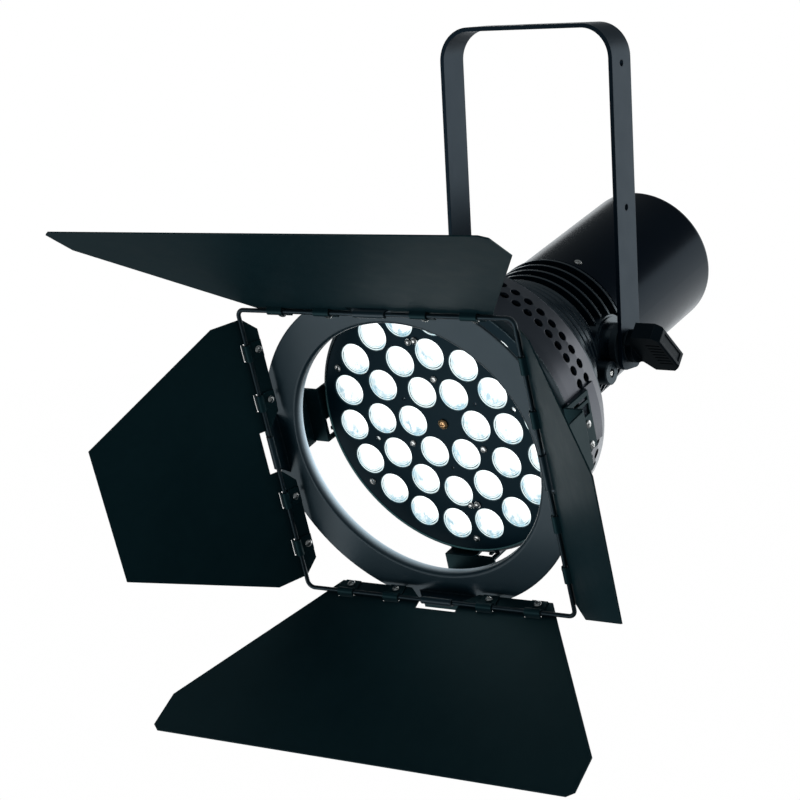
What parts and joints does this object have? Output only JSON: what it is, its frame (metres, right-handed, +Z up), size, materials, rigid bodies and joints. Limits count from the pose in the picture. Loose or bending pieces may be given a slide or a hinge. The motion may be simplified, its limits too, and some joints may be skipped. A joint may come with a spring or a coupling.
{
  "type": "led par spotlight with barn doors",
  "caption": "LED par spotlight: round lamp face of many small lenses, ribbed neck, rear can, flat-bar yoke with T knobs, and a four-leaf barn door on a square hinge wire.",
  "frame": {"origin": "centre of the clamp hole, on the top face of the yoke", "axes": "+Z up along the clamp hole, +X to the lamp's right as seen from in front of the lamp face, the beam leaves towards -Y and is tipped down at rest"},
  "size_m": [0.3636, 0.4988, 0.4521],
  "materials": {
    "yoke_black": "satin powder coat",
    "cast_black": "die-cast, black powder coat",
    "housing_black": "smooth black enamel, semi-gloss",
    "can_black": "satin black paint over spun sheet",
    "plate_black": "matt black",
    "sheet_black": "matt to satin black powder coat",
    "wire_black": "satin black, rubbed at the clips",
    "knob_plastic": "moulded, fine texture",
    "fibre_black": "dry fibre washer",
    "rubber_black": "moulded rubber",
    "nickel": "nickel plated",
    "stud_steel": "zinc plated",
    "brass": "bare brass",
    "lens_clear": "clear moulded optic, lit",
    "emitter": "lit phosphor",
    "board_white": "white solder mask",
    "tray_bare": "bare sheet",
    "pcb_green": "solder mask",
    "button_grey": "silicone key",
    "display_glass": "smoked window",
    "socket_blue": "moulded",
    "socket_metal": "black nickel",
    "fan_black": "moulded"
  },
  "bodies": {
    "yoke": {"yoke": "yoke_black", "yoke_washers": "fibre_black"},
    "head": {"finned_neck": "cast_black", "drum_back": "cast_black", "friction_discs": "cast_black", "friction_washers": "fibre_black", "side_bumpers": "rubber_black", "bumper_screws": "nickel", "lamp_drum": "housing_black", "front_bezel": "housing_black", "lamp_plate": "plate_black", "plate_screws": "nickel", "centre_screw": "brass", "plate_studs": "nickel", "led_lenses": "lens_clear", "led_emitters": "emitter", "led_board": "board_white", "rear_can": "can_black", "can_screws": "nickel", "rear_panel": "sheet_black", "rear_screws": "nickel", "display": "display_glass", "power_inlet": "socket_blue", "data_sockets": "socket_metal", "fan_frame": "fan_black", "inner_tray": "tray_bare", "power_supply": "tray_bare", "driver_board": "pcb_green", "board_posts": "brass", "holder_top": "sheet_black", "holder_right": "sheet_black", "holder_bottom": "sheet_black", "holder_left": "sheet_black", "holder_screws": "nickel", "latch_pin": "stud_steel"},
    "knob_right": {"knob_right": "knob_plastic", "stud_right": "stud_steel"},
    "knob_left": {"knob_left": "knob_plastic", "stud_left": "stud_steel"},
    "fan_rotor": {"fan_rotor": "fan_black"},
    "ring_latch": {"ring_latch": "sheet_black"},
    "barn_frame": {"ring_plate": "sheet_black", "wire_frame": "wire_black"},
    "button_menu": {"button_menu": "button_grey"},
    "button_down": {"button_down": "button_grey"},
    "button_up": {"button_up": "button_grey"},
    "button_enter": {"button_enter": "button_grey"},
    "leaf_top": {"leaf_top": "sheet_black", "clips_top": "sheet_black", "clip_screws_top": "nickel"},
    "leaf_right": {"leaf_right": "sheet_black", "clips_right": "sheet_black", "clip_screws_right": "nickel"},
    "leaf_bottom": {"leaf_bottom": "sheet_black", "clips_bottom": "sheet_black", "clip_screws_bottom": "nickel"},
    "leaf_left": {"leaf_left": "sheet_black", "clips_left": "sheet_black", "clip_screws_left": "nickel"}
  },
  "joints": [
    {"name": "head_tilt", "type": "hinge", "parent": "yoke", "child": "head", "pos_m": [0, 0, -0.222], "axis": [1, 0, 0], "range_deg": [-55.1, 204.9]},
    {"name": "knob_right_turn", "type": "hinge", "parent": "head", "child": "knob_right", "pos_m": [0.07, 0, -0.222], "axis": [1, 0, 0], "continuous": true},
    {"name": "knob_left_turn", "type": "hinge", "parent": "head", "child": "knob_left", "pos_m": [-0.07, 0, -0.222], "axis": [1, 0, 0], "continuous": true},
    {"name": "fan_spin", "type": "hinge", "parent": "head", "child": "fan_rotor", "pos_m": [0, 0.03089, -0.21366], "axis": [0, 0.9655, 0.2605], "continuous": true},
    {"name": "latch_lift", "type": "hinge", "parent": "head", "child": "ring_latch", "pos_m": [0.00014, -0.17022, -0.1473], "axis": [-0.9993, -0.0352, -0.0101], "range_deg": [0, 90]},
    {"name": "barn_turn", "type": "hinge", "parent": "head", "child": "barn_frame", "pos_m": [0.00128, -0.16747, -0.26927], "axis": [-0.0366, 0.9606, 0.2755], "continuous": true},
    {"name": "leaf_top_hinge", "type": "hinge", "parent": "barn_frame", "child": "leaf_top", "pos_m": [0.00178, -0.20955, -0.17147], "axis": [-0.9993, -0.0352, -0.0101], "range_deg": [-53.7, 46.3]},
    {"name": "leaf_right_hinge", "type": "hinge", "parent": "barn_frame", "child": "leaf_right", "pos_m": [0.1073, -0.17672, -0.27192], "axis": [0, -0.2756, 0.9613], "range_deg": [-89.2, 45.8]},
    {"name": "leaf_bottom_hinge", "type": "hinge", "parent": "barn_frame", "child": "leaf_bottom", "pos_m": [0.00178, -0.15133, -0.37449], "axis": [0.9993, 0.0352, 0.0101], "range_deg": [-26.8, 73.2]},
    {"name": "leaf_left_hinge", "type": "hinge", "parent": "barn_frame", "child": "leaf_left", "pos_m": [-0.10375, -0.18416, -0.27405], "axis": [0, 0.2756, -0.9613], "range_deg": [-76.5, 58.5]},
    {"name": "button_menu_press", "type": "slide", "parent": "head", "child": "button_menu", "axis": [0, -0.9655, -0.2605], "range_m": [0, 0.0015], "stiffness_N_per_m": 900, "springref_m": -0.0003},
    {"name": "button_down_press", "type": "slide", "parent": "head", "child": "button_down", "axis": [0, -0.9655, -0.2605], "range_m": [0, 0.0015], "stiffness_N_per_m": 900, "springref_m": -0.0003},
    {"name": "button_up_press", "type": "slide", "parent": "head", "child": "button_up", "axis": [0, -0.9655, -0.2605], "range_m": [0, 0.0015], "stiffness_N_per_m": 900, "springref_m": -0.0003},
    {"name": "button_enter_press", "type": "slide", "parent": "head", "child": "button_enter", "axis": [0, -0.9655, -0.2605], "range_m": [0, 0.0015], "stiffness_N_per_m": 900, "springref_m": -0.0003}
  ]
}
